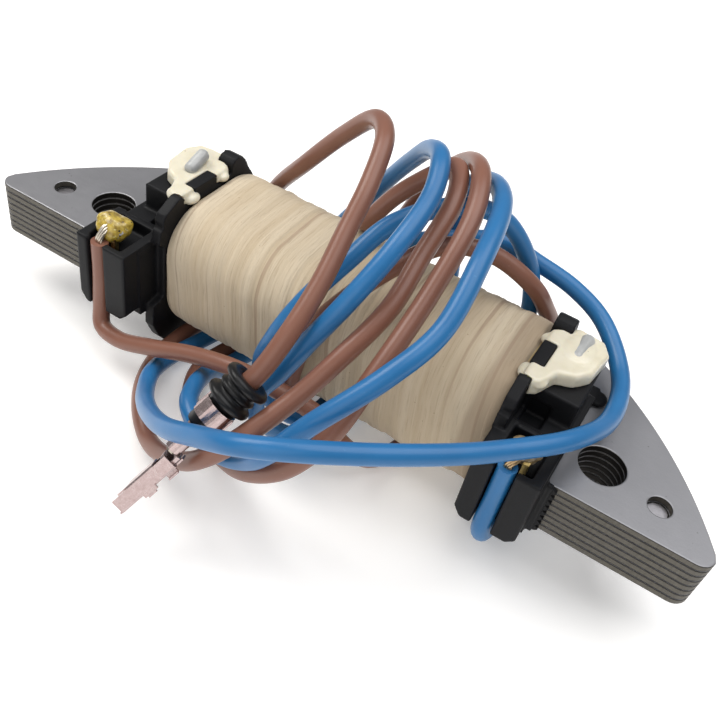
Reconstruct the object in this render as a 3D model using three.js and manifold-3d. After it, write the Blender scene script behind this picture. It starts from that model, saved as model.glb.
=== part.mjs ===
// Charging coil for a small engine ignition: laminated core, moulded bobbin,
// taped winding, two soldered leads with sealed crimp terminals.
// Units mm, +Z up, +X along the straight front edge of the core.
import * as THREE from 'three';
import { mergeVertices } from 'three/addons/utils/BufferGeometryUtils.js';
import Module from 'manifold-3d';

const wasm = await Module();
wasm.setup();

// ---------- driving sizes ----------
const CORE_LENGTH = 116;
const SHEET_COUNT = 8;
const SHEET_THICK = 1.06;
const SHEET_PITCH = 1.09;
const ARC_RADIUS = 66.4;
const ARC_CENTRE_Y = -29.9;
const TIP_ROUND = 2.2;
const NECK_FRONT = 6.5;
const NECK_BACK = 21.5;
const WING_INNER = 30;
const BOLT_X = 41.3;
const BOLT_Y = 7.4;
const BOLT_HOLE = 6.5;
const RIVET_X = 49.7;
const RIVET_Y = 5.7;
const RIVET_HOLE = 3.2;
const COIL_Y = 14;
const COIL_HALF_Y = 11.8;
const COIL_HALF_Z = 10.95;
const COIL_Z = -3.85;
const COIL_ROUND = 7.5;
const FLANGE_IN = 27;
const FLANGE_OUT = 28.6;
const COLLAR_OUT = 36.4;
const FIT_GAP = 0.06;
const LEAD_OD = 2.6;
const SEAL_OD = 6.4;
const FLOOR_DROP = 17.75;

const STACK = SHEET_COUNT * SHEET_PITCH - (SHEET_PITCH - SHEET_THICK);
const MID_Z = -STACK / 2;

// ---------- helpers ----------
const group = new THREE.Group();
group.name = 'ignition_coil';

function toManifold(geometry) {
  const g = geometry.clone();
  g.deleteAttribute('normal');
  g.deleteAttribute('uv');
  const m = mergeVertices(g, 1e-4);
  return new wasm.Manifold(new wasm.Mesh({
    numProp: 3,
    vertProperties: new Float32Array(m.attributes.position.array),
    triVerts: new Uint32Array(m.index.array),
  }));
}

function fromManifold(solid) {
  const mesh = solid.getMesh();
  const g = new THREE.BufferGeometry();
  g.setAttribute('position', new THREE.BufferAttribute(new Float32Array(mesh.vertProperties), 3));
  g.setIndex(new THREE.BufferAttribute(new Uint32Array(mesh.triVerts), 1));
  g.computeVertexNormals();
  return g;
}

function box(x0, x1, y0, y1, z0, z1) {
  const g = new THREE.BoxGeometry(x1 - x0, y1 - y0, z1 - z0);
  g.translate((x0 + x1) / 2, (y0 + y1) / 2, (z0 + z1) / 2);
  return g;
}

const solidBox = (...a) => toManifold(box(...a));

// A round bar standing on z = 0, with its first edge on +X.
function barZ(length, radius, sides) {
  const g = new THREE.CylinderGeometry(radius, radius, length, sides, 1, false, Math.PI / 2);
  g.rotateX(Math.PI / 2);
  g.translate(0, 0, length / 2);
  return toManifold(g);
}

// A flat shape in Y and Z, pushed along X from x0 to x1.
function plateX(points, x0, x1) {
  const shape = new THREE.Shape(points.map(([y, z]) => new THREE.Vector2(y, z)));
  const g = new THREE.ExtrudeGeometry(shape, { depth: x1 - x0, bevelEnabled: false });
  g.applyMatrix4(new THREE.Matrix4().set(0, 0, 1, x0, 1, 0, 0, 0, 0, 1, 0, 0, 0, 0, 0, 1));
  return g;
}

// Rounded rectangle outline in Y and Z, centred at COIL_Y and centreZ.
function roundRect(halfY, halfZ, radius, cuts, centreZ = COIL_Z) {
  const pts = [];
  const corners = [[1, 1, 0], [-1, 1, 90], [-1, -1, 180], [1, -1, 270]];
  for (const [sy, sz, start] of corners) {
    for (let i = 0; i <= cuts; i += 1) {
      const a = (start + (90 * i) / cuts) * Math.PI / 180;
      pts.push([
        COIL_Y + sy * (halfY - radius) + radius * Math.cos(a),
        centreZ + sz * (halfZ - radius) + radius * Math.sin(a),
      ]);
    }
  }
  return pts;
}

// A sleeve along X between two outlines that have the same number of points.
function sleeve(outer, inner, x0, x1) {
  const n = outer.length;
  const pos = [];
  for (const x of [x0, x1]) {
    for (const [y, z] of outer) pos.push(x, y, z);
    for (const [y, z] of inner) pos.push(x, y, z);
  }
  const idx = [];
  const quad = (a, b, c, d) => idx.push(a, b, c, a, c, d);
  for (let i = 0; i < n; i += 1) {
    const j = (i + 1) % n;
    quad(i, j, 2 * n + j, 2 * n + i);
    quad(n + j, n + i, 3 * n + i, 3 * n + j);
    quad(j, i, n + i, n + j);
    quad(2 * n + i, 2 * n + j, 3 * n + j, 3 * n + i);
  }
  const g = new THREE.BufferGeometry();
  g.setAttribute('position', new THREE.Float32BufferAttribute(pos, 3));
  g.setIndex(idx);
  g.computeVertexNormals();
  return g;
}

// A round solid cord along smooth way-points.
function cord(points, radius, sides, steps) {
  const curve = new THREE.CatmullRomCurve3(points.map((p) => new THREE.Vector3(...p)), false, 'centripetal');
  curve.arcLengthDivisions = 2000;
  const ring = [];
  let side = null;
  for (let i = 0; i <= steps; i += 1) {
    const c = curve.getPointAt(i / steps);
    const t = curve.getTangentAt(i / steps).normalize();
    if (!side) {
      side = new THREE.Vector3(0, 1, 0).cross(t);
      if (side.length() <= 0.3) side = new THREE.Vector3(1, 0, 0).cross(t);
    }
    side.addScaledVector(t, -side.dot(t)).normalize();
    const up = new THREE.Vector3().crossVectors(t, side);
    const loop = [];
    for (let k = 0; k < sides; k += 1) {
      const a = (2 * Math.PI * k) / sides;
      const point = c.clone().addScaledVector(side, radius * Math.cos(a));
      loop.push(point.addScaledVector(up, radius * Math.sin(a)));
    }
    ring.push(loop);
  }
  const pos = [];
  ring.forEach((loop) => loop.forEach((v) => pos.push(v.x, v.y, v.z)));
  const idx = [];
  for (let i = 0; i < steps; i += 1) {
    for (let k = 0; k < sides; k += 1) {
      const a = i * sides + k;
      const b = i * sides + ((k + 1) % sides);
      idx.push(a, b, b + sides, a, b + sides, a + sides);
    }
  }
  const last = steps * sides;
  for (let k = 1; k < sides - 1; k += 1) {
    idx.push(0, k + 1, k);
    idx.push(last, last + k, last + k + 1);
  }
  const g = new THREE.BufferGeometry();
  g.setAttribute('position', new THREE.Float32BufferAttribute(pos, 3));
  g.setIndex(idx);
  g.computeVertexNormals();
  return g;
}

// A turned piece: profile of [radius, along], laid from one point towards another.
function turned(profile, from, to, segments) {
  const g = new THREE.LatheGeometry(profile.map(([r, a]) => new THREE.Vector2(r, a)), segments);
  const dir = new THREE.Vector3(...to).sub(new THREE.Vector3(...from)).normalize();
  g.applyQuaternion(new THREE.Quaternion().setFromUnitVectors(new THREE.Vector3(0, 1, 0), dir));
  g.translate(...from);
  return g;
}

const METALS = { tin: [0xc9c6c2, 1.0, 0.3], copper: [0xa4552c, 1.0, 0.4] };
function paint(color, metalness, roughness) {
  return new THREE.MeshStandardMaterial({ color, metalness, roughness });
}

function add(name, geometry, material) {
  const mesh = new THREE.Mesh(geometry, material);
  mesh.name = name;
  group.add(mesh);
  return mesh;
}

// ---------- laminated core ----------
function arcY(x) {
  return ARC_CENTRE_Y + Math.sqrt(ARC_RADIUS * ARC_RADIUS - x * x);
}

function coreOutline(grow) {
  const half = CORE_LENGTH / 2 + grow;
  const right = [];
  const tipY = arcY(half - grow - 0.4);
  right.push([WING_INNER - 1.2 - grow, NECK_FRONT - grow]);
  right.push([WING_INNER - 1.2 - grow, -grow]);
  right.push([half - TIP_ROUND, -grow]);
  right.push([half - 0.6, 0.7 - grow]);
  right.push([half, tipY - 0.6]);
  for (const x of [57, 55, 52, 48.5, 45, 41, 37, WING_INNER + 2]) right.push([x + grow, arcY(x) + grow]);
  right.push([WING_INNER - grow, arcY(WING_INNER + 2) - 1.2 + grow]);
  right.push([WING_INNER - grow, NECK_BACK + grow]);
  const left = right.slice().reverse().map(([x, y]) => [-x, y]);
  return right.concat(left);
}

function roundHole(x, y, diameter, cuts) {
  const path = new THREE.Path();
  const pts = [];
  for (let i = 0; i < cuts; i += 1) {
    const a = -(2 * Math.PI * i) / cuts;
    pts.push(new THREE.Vector2(x + (diameter / 2) * Math.cos(a), y + (diameter / 2) * Math.sin(a)));
  }
  path.setFromPoints(pts);
  return path;
}

for (let i = 0; i < SHEET_COUNT; i += 1) {
  const shape = new THREE.Shape(coreOutline(0).map(([x, y]) => new THREE.Vector2(x, y)));
  for (const s of [-1, 1]) {
    shape.holes.push(roundHole(s * BOLT_X, BOLT_Y, BOLT_HOLE, 20));
    shape.holes.push(roundHole(s * RIVET_X, RIVET_Y, RIVET_HOLE, 10));
  }
  const g = new THREE.ExtrudeGeometry(shape, { depth: SHEET_THICK, bevelEnabled: false });
  g.translate(0, 0, -STACK + i * SHEET_PITCH);
  add(`lamination_${i + 1}`, g, paint(0x8c8a90, 0.9, 0.45));
}

for (const [name, s] of [['core_rivet_left', -1], ['core_rivet_right', 1]]) {
  const g = new THREE.CylinderGeometry(RIVET_HOLE / 2 - 0.15, RIVET_HOLE / 2 - 0.15, STACK - 1.1, 10);
  g.rotateX(Math.PI / 2);
  g.translate(s * RIVET_X, RIVET_Y, -STACK + (STACK - 1.1) / 2);
  add(name, g, paint(0x9a989c, 0.9, 0.4));
}

// ---------- moulded bobbin ----------
const coreSpace = toManifold((() => {
  const shape = new THREE.Shape(coreOutline(FIT_GAP).map(([x, y]) => new THREE.Vector2(x, y)));
  const g = new THREE.ExtrudeGeometry(shape, { depth: STACK + 2 * FIT_GAP, bevelEnabled: false });
  g.translate(0, 0, -STACK - FIT_GAP);
  return g;
})());

const TUBE_WALL = 1.4;
const flangeOutline = [
  [4.6, -17.75], [22.4, -17.75], [25, -15.4], [26, -10], [26, -3], [25, 1.5], [23.8, 5], [22, 7.4],
  [20.6, 7.9], [16.4, 7], [6.7, 6.9], [1.6, 4.9], [1.2, 2.9], [2.4, 1.9], [2.4, -7.6], [0, -8.1],
  [-0.2, -11.8], [1.2, -15], [2.8, -17],
];

function endBlock(s) {
  // s is -1 for the left end and 1 for the right end
  const span = (a, b) => (s > 0 ? [a, b] : [-b, -a]);
  const parts = [];
  const cuts = [];
  const [f0, f1] = span(FLANGE_IN, FLANGE_OUT);
  parts.push(toManifold(plateX(flangeOutline, f0, f1)));
  const [c0, c1] = span(FLANGE_OUT - 0.2, COLLAR_OUT);
  parts.push(solidBox(c0, c1, -1.4, 20, -9.6, 2.3));
  // raised base under the adhesive
  const [b0, b1] = span(FLANGE_OUT - 0.2, 35.4);
  parts.push(solidBox(b0, b1, 8, 19.4, 2.2, 6.4));
  // slanted front bar on the flange
  const [r0, r1] = span(FLANGE_IN, FLANGE_OUT + 0.1);
  const barOutline = [[2.4, 4.7], [6.8, 6.4], [6.9, 8.2], [6.1, 8.8], [5.5, 8.7], [2.6, 7.2], [2.1, 6.3]];
  parts.push(toManifold(plateX(barOutline, r0, r1)));
  // block and back tab standing up through the adhesive
  const [k0, k1] = span(FLANGE_IN + 0.2, FLANGE_OUT + 0.5);
  parts.push(solidBox(k0, k1, 9.4, 14.6, 6, 8.7));
  const [t0, t1] = span(FLANGE_IN, FLANGE_OUT + 1.2);
  const tabOutline = [[18, 6], [22.9, 6], [21.8, 8.1], [20.8, 9.3], [19.8, 9.7], [18.8, 9.5], [18.1, 8.9]];
  parts.push(toManifold(plateX(tabOutline, t0, t1)));
  // comb against the sheet edges
  const [m0, m1] = span(COLLAR_OUT - 0.2, 37.3);
  parts.push(solidBox(m0, m1, -0.9, -FIT_GAP, -STACK - 0.3, 0.4));
  // half-round gate mark on the top sheet
  const gate = new THREE.CylinderGeometry(1.5, 1.5, 0.7, 12);
  gate.rotateX(Math.PI / 2);
  gate.translate(s * (COLLAR_OUT + 0.2), 18.2, 0.35 + FIT_GAP);
  parts.push(toManifold(gate));
  // notch in front of the raised base
  const [n0, n1] = span(29.2, 32.3);
  cuts.push(solidBox(n0, n1, 5.4, 8.6, 1.2, 4.2));
  // step down at the collar's back outer corner
  const [w0, w1] = span(33.2, 37);
  cuts.push(solidBox(w0, w1, 16.2, 21, 0.9, 4));
  return { parts, cuts };
}

// Terminal pocket: outer wall, lead slot, block, all running the same way in X at both ends.
function pocket(x0, wallWide, slotWide, blockEnd) {
  const parts = [];
  const cuts = [];
  const slot0 = x0 + wallWide;
  const slot1 = slot0 + slotWide;
  const bevel = 1.1;
  const front = new THREE.Shape([
    [x0 + bevel, -9.2], [slot0, -9.2], [blockEnd - bevel, -9.2], [blockEnd, -9.2 + bevel],
    [blockEnd, 2.9], [x0, 2.9], [x0, -9.2 + 1.4 * bevel],
  ].map(([x, z]) => new THREE.Vector2(x, z)));
  const face = new THREE.ExtrudeGeometry(front, { depth: 3.3, bevelEnabled: false });
  face.rotateX(Math.PI / 2);
  face.translate(0, -1.2, 0);
  parts.push(toManifold(face));
  parts.push(solidBox(x0, blockEnd, -1.4, 4.4, FIT_GAP, 2.9));
  parts.push(solidBox(x0, slot0 - 0.3, -4.5, 4.4, 2, 3.2));
  cuts.push(solidBox(slot0, slot1, -6, -1.9, -12, 6));
  cuts.push(solidBox(slot0 - 0.4, blockEnd - 1.5, -3.4, 3.4, 0.9, 6));
  cuts.push(solidBox(slot0 + 0.6, blockEnd - 1.5, -3.4, -1.3, -5, 6));
  return { parts, cuts };
}

const tubeOuter = [
  [NECK_FRONT - TUBE_WALL, -STACK - 1.2], [NECK_BACK + TUBE_WALL, -STACK - 1.2],
  [NECK_BACK + TUBE_WALL, 1.2], [NECK_FRONT - TUBE_WALL, 1.2],
];
const adds = [toManifold(plateX(tubeOuter, -FLANGE_IN - 0.5, FLANGE_IN + 0.5))];
const cutsAll = [];
const LEFT_POCKET = [-37.4, 1.95, 2.85, -28.6];
const RIGHT_POCKET = [27.2, 2.75, 2.9, 36.2];
for (const item of [endBlock(-1), endBlock(1), pocket(...LEFT_POCKET), pocket(...RIGHT_POCKET)]) {
  adds.push(...item.parts);
  cutsAll.push(...item.cuts);
}
const bobbinSolid = wasm.Manifold.union(adds)
  .subtract(wasm.Manifold.union(cutsAll))
  .subtract(coreSpace);
add('bobbin', fromManifold(bobbinSolid), paint(0x17181a, 0.0, 0.5));

// The bobbin and a thin skin round it, to cut out of what is poured against it.
const skin = [[0, 0, 0], [1, 0, 0], [-1, 0, 0], [0, 1, 0], [0, -1, 0], [0, 0, 1]];
const bobbinAndGap = wasm.Manifold.union(skin.map((v) => bobbinSolid.translate(v.map((c) => 0.05 * c))));

// What is left of a poured solid next to the bobbin, as its one largest piece.
function besideBobbin(solid) {
  const pieces = solid.subtract(bobbinAndGap).decompose();
  pieces.sort((a, b) => b.volume() - a.volume());
  return pieces[0];
}

// ---------- winding, paper and tape ----------
const CUTS = 6;
const TAPE_THICK = 0.6;
const PAPER_THICK = 0.3;
const LAYER_GAP = 0.05;
// The coil's outline, inset mm inside the outer face of the tape.
const coilRing = (inset) => roundRect(COIL_HALF_Y - inset, COIL_HALF_Z - inset, COIL_ROUND - inset, CUTS);
const tubeHalfY = (NECK_BACK - NECK_FRONT) / 2 + TUBE_WALL + FIT_GAP + 0.6;
const tubeRing = roundRect(tubeHalfY, STACK / 2 + 1.2 + FIT_GAP + 0.6, 0.6, CUTS, MID_Z);
const paperTop = TAPE_THICK + LAYER_GAP;
const wireTop = paperTop + PAPER_THICK + LAYER_GAP;
const coilLayers = [
  ['winding', wireTop, tubeRing, 0.2, METALS.copper],
  ['insulating_paper', paperTop, coilRing(paperTop + PAPER_THICK), 0.15, [0xb79f6e, 0, 0.9]],
  ['tape_wrap', 0, coilRing(TAPE_THICK), 0.1, [0xe3d6b8, 0, 0.85]],
];
for (const [name, inset, inner, endGap, look] of coilLayers) {
  add(name, sleeve(coilRing(inset), inner, -FLANGE_IN + endGap, FLANGE_IN - endGap), paint(...look));
}

// ---------- leads ----------
// Way-points of the lead centre lines: X along the core, Y to the back, Z up from the core's top face.
// Brown lead: out of the left pocket, four passes under the coil, ending at its seal and terminal.
const brownRun = [
  // up in the pocket slot, down and along under the left block
  [-34, -3.3, 2.6], [-34, -3.3, -3], [-34.1, -3.6, -9.4], [-33, -4.8, -12], [-29, -5.7, -11.9],
  [-23.3, -5.5, -10.1], [-16, -4.8, -7.5], [-8, -5, -5], [0, -5.4, -4], [6, -5, -5],
  // first pass under the coil and up behind its right end
  [10, -4, -9], [12.5, 0, -14], [14, 5, -16.2], [15.5, 12, -16.2], [17.5, 20, -16.2], [19, 26.5, -15.5],
  [22, 29.5, -8], [25.4, 29.2, -1.1], [23.9, 25.8, 5.1],
  // over the top, close to the tape
  [21.3, 23, 9.6], [15.4, 20.7, 12.9], [9.9, 16.1, 14.1], [6, 9.1, 12.4], [2.9, 3.9, 9], [-0.3, 1.1, 3.2],
  [-1.7, 0.5, -3.9], [-2.6, 1.5, -11],
  // second pass, then the tallest right-hand turn
  [-3.2, 5, -15.8], [-3.2, 12, -16.2], [-3.6, 20, -16.2], [-4, 26, -15.7], [-4.5, 29.2, -9],
  [-4.2, 30.2, -1], [-2, 31.5, 7], [1.7, 29.9, 15], [6.7, 25.4, 21.8], [11.2, 18, 25], [13.7, 11.1, 23],
  [14.1, 2.1, 17.2], [13.6, -8.2, 10.9], [12.5, -15, 5.1], [9.5, -18, -0.1], [4, -17.4, -6.3],
  [-2.3, -14, -12.2],
  // third pass, then the middle turn
  [-8.6, -10.6, -14.8], [-15.2, -5.6, -16], [-18.4, 0.5, -16.2], [-17.5, 8, -16.2], [-14.5, 18, -16.2],
  [-12.2, 26, -15.7], [-11, 29.2, -9], [-9.5, 28.7, -1], [-6.4, 25.2, 6.4], [-3.9, 19.5, 9.3],
  [-0.2, 19.5, 15.6], [3.4, 20.7, 19.8], [6.8, 20.5, 23.1], [10, 14, 22.5], [10.3, 6.2, 18.1],
  [10.5, -0.6, 14.3],
  [8.4, -8, 9.6], [6.2, -12.8, 5.6], [3.1, -18.4, 1.5], [-0.1, -20.7, -2.7], [-5.3, -20.1, -8.5],
  // outer bend at the left, fourth pass and the last turn down to the seal
  [-13.3, -16.7, -14], [-18.3, -12.9, -14.6], [-22.5, -7.7, -15.6], [-25, -1.7, -16.2], [-25.3, 4.8, -16.2],
  [-24, 15, -16.2], [-22.5, 25, -15.6], [-24.4, 29, -11], [-26.6, 28.7, -3.8], [-24.4, 27.1, 1.8],
  [-17.2, 23.1, 11.6], [-10.9, 22, 19.7], [-5.5, 19.5, 25.3], [-1.5, 14.6, 26.4], [0.7, 8, 23.6],
  [1.5, 2.1, 19.6],
  [2.3, -4.3, 15.3], [2.2, -9.9, 11.3],
];
// Blue lead: out of the right pocket, round behind the coil, one wide turn and three close ones.
const blueRun = [
  // down the slot, back under the right collar, round behind the flange
  [31.4, -3.3, 2.7], [31.4, -3.3, -4], [31.4, -3.6, -9.6], [31.8, -2.2, -12.3], [32.6, 6, -13.2],
  [33, 18, -13], [32.5, 28, -13], [29, 34.5, -12.5], [22, 36, -12], [14, 35.5, -10], [7, 33, -6.5],
  [0.4, 28.9, -0.8], [2.3, 26.3, 5.2],
  // wide turn: along the back, over the right wing, across the front
  [8.2, 26.3, 8.9], [14, 28.8, 10], [20.2, 30.4, 8.2], [26.4, 30.2, 7], [32.1, 27.9, 5.7], [37.9, 20.8, 3.8],
  [39.4, 11.5, 4.3], [36.7, 1.7, 7.1], [30.7, -6.3, 8.1], [26.4, -11.4, 9], [20.3, -17.4, 10],
  [13.3, -23.4, 11],
  [7, -26, 9.7], [0.8, -25.1, 5.7], [-5.5, -22.9, 0.6], [-13.2, -17.3, -6.2],
  [-18.8, -11.2, -11.2], [-21.3, -6.9, -12.8], [-22.7, -0.1, -15.2],
  // first pass under the coil and the left-hand turn
  [-22.2, 5.5, -16.2], [-20, 15, -16.2], [-17, 25, -15.6], [-15.5, 29.5, -10.5], [-13.5, 29.8, -2.5],
  [-9.6, 30.3, 4.7], [-5.5, 28.5, 11.9], [-1.2, 25.2, 18.6], [2.5, 21.1, 23.6], [6.2, 15.6, 26.1],
  [8.3, 9.8, 24.4], [8.4, 1.9, 21.1], [6.5, -4.4, 15.4], [3.8, -7.4, 9.3], [1.4, -9.5, 3.8],
  [-0.6, -10.3, -0.1], [-1.1, -9.6, -5.3], [0.5, -6.5, -10.5],
  // second pass and the low turn from behind the right end
  [3.6, -1, -15], [4.6, 5, -16.2], [5.5, 12, -16.2], [8, 20, -16.2], [10.5, 26.5, -15.5],
  [15, 30, -9], [20.5, 30.6, -3], [21.7, 27.4, 2.3], [19.7, 26.8, 9.3], [15.1, 24.1, 16.3],
  [10.5, 18.4, 19.7], [3.9, 11.5, 17.4], [1.1, 4.7, 13.2], [-1.5, -0.8, 8.2], [-3.4, -3.4, 2.8],
  [-5.6, -2.2, -5.4],
  [-2.9, -2.2, -10.7],
  // third pass and the right-hand turn
  [0.2, 1, -14.8], [1, 6, -16.2], [1, 14, -16.2], [2, 20, -16.2], [4, 26.5, -15.4], [6.5, 28.8, -9],
  [8, 29, -1], [6.1, 30.9, 6.5], [5.9, 30.8, 11.8], [7.7, 27.7, 17.7], [12.1, 22.4, 22.1],
  [15.9, 14.8, 24.1], [18.3, 3.6, 22.9], [18.7, -4.9, 18.3], [16.2, -11.7, 14.8], [11.2, -18.1, 8.9],
  [7.8, -20.2, 3.5],
  [3.5, -18.6, -3], [-1.5, -17.3, -6.6], [-6.5, -14.8, -8], [-10.5, -12, -8], [-12.6, -8, -9],
  // last pass, ending on the ground behind the coil
  [-14.4, -2.8, -12], [-15.6, 2, -15.6], [-14.6, 8, -16.2], [-11, 18, -16.2], [-8.4, 26, -16],
  [-6.5, 31.5, -15.6], [-2.5, 36.5, -14.8], [2.5, 39.5, -14.4],
];

const LEAD_R = LEAD_OD / 2;
const SIDES = 8;

// Fitted end of a lead: its axis starts just behind the seal.
function along(end, s) {
  return [0, 1, 2].map((k) => end.start[k] + s * end.dir[k]);
}
function unit(v) {
  const n = Math.hypot(...v);
  return v.map((c) => c / n);
}
const brownEnd = { start: [1.1, -13.8, 7], dir: unit([-0.38, -0.63, -0.68]), up: [-0.85, -0.06, 0.53] };
const blueEnd = { start: [7, 40, -14.4], dir: [1, 0, 0], up: [0, -0.3, 0.95] };
brownRun.push(along(brownEnd, 0), along(brownEnd, 3), along(brownEnd, 6), along(brownEnd, 10.4));
blueRun.push(along(blueEnd, 0), along(blueEnd, 3), along(blueEnd, 6), along(blueEnd, 10.4));

function onLead(mesh) {
  mesh.userData.onLead = true;
  return mesh;
}
onLead(add('brown_lead', cord(brownRun, LEAD_R, SIDES, 120), paint(0xa8705c, 0, 0.45)));
onLead(add('blue_lead', cord(blueRun, LEAD_R, SIDES, 138), paint(0x2b78b8, 0, 0.4)));

const sealProfile = [
  [1.6, 1.2], [2.5, 1.2], [3.05, 1.4], [SEAL_OD / 2, 1.8], [3.0, 2.2], [2.4, 2.5], [2.3, 2.9],
  [2.6, 3.2], [2.6, 3.5],
  [2.3, 3.8], [2.5, 4.1], [3.1, 4.4], [SEAL_OD / 2, 4.8], [3.1, 5.2], [2.4, 5.5], [1.95, 5.7], [1.95, 9.8],
  [1.6, 9.8], [1.6, 1.2],
];
function terminalBody() {
  const ring = (r0, r1, s0, s1) => {
    const hole = barZ(s1 - s0 + 1, r0, 12).translate([0, 0, -0.5]);
    return barZ(s1 - s0, r1, 14).subtract(hole).rotate([0, 90, 0]).translate([s0, 0, 0]);
  };
  const body = solidBox(15.2, 24.6, -1.35, 1.35, -1.9, 0.35)
    .subtract(solidBox(15.9, 26, -1.05, 1.05, -1.6, 0.05))
    .subtract(solidBox(21.6, 26, -1.05, 1.05, -1.6, 2))
    .subtract(solidBox(24.1, 26, -2, 2, -1.5, 2))
    .subtract(solidBox(15.9, 17.2, -0.95, 0.95, -0.5, 2));
  const parts = [
    ring(2.07, 2.35, 6.0, 8.4),
    solidBox(6.2, 10.6, -0.9, 0.9, -2.4, -2.04),
    ring(0.9, 1.3, 11.4, 14.2),
    solidBox(10.2, 10.6, -0.8, 0.8, -2.4, -1.5),
    solidBox(10.2, 15.6, -0.8, 0.8, -1.9, -1.5),
    solidBox(11.6, 14.0, -0.8, 0.8, -1.6, -1.05),
    solidBox(15.2, 16.0, -0.8, 0.8, -1.9, -1.4),
    solidBox(18.6, 20.7, 1.05, 1.35, -2.6, -1.7),
    solidBox(16.2, 17.8, -1.35, -1.05, -2.8, -1.7),
    body,
  ];
  return fromManifold(wasm.Manifold.union(parts));
}

for (const [color, end] of [['brown', brownEnd], ['blue', blueEnd]]) {
  const s0 = along(end, 0);
  const s1 = along(end, 10);
  onLead(add(`${color}_seal`, turned(sealProfile, s0, s1, 14), paint(0x1b1b1c, 0, 0.6)));
  const bareEnd = turned([[0, 10.55], [0.75, 10.55], [0.75, 14.6], [0, 14.6]], s0, s1, 8);
  onLead(add(`${color}_bare_end`, bareEnd, paint(...METALS.tin)));
  const dir = new THREE.Vector3(...end.dir);
  const side = new THREE.Vector3(...end.up).cross(dir).normalize();
  const up = new THREE.Vector3().crossVectors(dir, side);
  const g = terminalBody();
  g.applyMatrix4(new THREE.Matrix4().makeBasis(dir, side, up).setPosition(...end.start));
  onLead(add(`${color}_terminal`, g, paint(...METALS.tin)));
}

// ---------- soldered joints in the pockets ----------
const joints = [
  ['left', -34, 2.6, [-33.9, -0.5, 3.5], [2.6, 2.3, 2.0], -32.6, 3.2],
  ['right', 31.4, 2.7, [32.3, -0.3, 3.2], [1.9, 1.7, 1.5], 33.2, 3.2],
];
for (const [side, leadX, topZ, centre, radii, pinX, pinTop] of joints) {
  const color = side === 'left' ? 'brown' : 'blue';
  const strandRun = [
    [leadX, -3.3, topZ + 0.1], [leadX, -3.2, topZ + 0.7],
    [(leadX + centre[0]) / 2, -2.3, topZ + 1.4], [centre[0], -1.3, topZ + 1.5],
  ];
  const strands = cord(strandRun, 0.7, 6, 6);
  const pin = box(pinX - 0.4, pinX + 0.4, -2.2, -1.4, -4.9, pinTop);
  const ball = new THREE.SphereGeometry(1, 12, 8);
  ball.scale(...radii);
  ball.translate(...centre);
  const leadSlot = barZ(6, LEAD_R + 0.08, 10).translate([leadX, -3.3, topZ - 5.9]);
  const blob = toManifold(ball)
    .subtract(toManifold(cord(strandRun, 0.8, 6, 6)))
    .subtract(solidBox(pinX - 0.46, pinX + 0.46, -2.26, -1.34, -5, pinTop + 0.06))
    .subtract(leadSlot);
  onLead(add(`${color}_stripped_strands`, strands, paint(...METALS.tin)));
  add(`terminal_pin_${side}`, pin, paint(0xb89a4a, 1, 0.35));
  add(`solder_joint_${side}`, fromManifold(besideBobbin(blob)), paint(0xb59a35, 0.3, 0.35));
}

// ---------- adhesive on the flanges ----------
const adhesiveTop = [
  [27.3, 6.4], [28.6, 5.8], [29.9, 6.6], [31.2, 9.6], [33.4, 10.6], [35.0, 12.8], [35.6, 17.6],
  [34.2, 19.8], [30.4, 20.2], [28.4, 18.6], [27.2, 17.4],
];
for (const [side, s] of [['left', -1], ['right', 1]]) {
  const outline = adhesiveTop.map(([x, y]) => [s * x, y]);
  if (s < 0) outline.reverse();
  const shape = new THREE.Shape(outline.map(([x, y]) => new THREE.Vector2(x, y)));
  const g = new THREE.ExtrudeGeometry(shape, {
    depth: 1.6, bevelEnabled: true, bevelThickness: 0.6, bevelSize: 0.5, bevelOffset: -0.5, bevelSegments: 2,
  });
  g.translate(0, 0, 6.5);
  add(`adhesive_${side}`, fromManifold(besideBobbin(toManifold(g))), paint(0xefe6c4, 0, 0.5));
  const post = s > 0 ? box(31, 33, 13.4, 19.4, 8.8, 9.6) : box(-31.8, -29.8, 12.4, 16.2, 8.8, 10.9);
  add(`wire_post_${side}`, post, paint(0x9fa19c, 0.1, 0.4));
}

// ---------- place the part: centred, standing on the flange bottoms ----------
const rigid = new THREE.Box3();
for (const mesh of group.children) {
  if (mesh.userData.onLead) continue;
  mesh.geometry.computeBoundingBox();
  rigid.union(mesh.geometry.boundingBox);
}
const centreX = (rigid.min.x + rigid.max.x) / 2;
const centreY = (rigid.min.y + rigid.max.y) / 2;
const shift = new THREE.Vector3(-centreX, -centreY, FLOOR_DROP);
for (const mesh of group.children) mesh.geometry.translate(shift.x, shift.y, shift.z);

export default group;
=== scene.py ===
import math

import bmesh
import bpy
from mathutils import Matrix, Vector, noise


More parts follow.
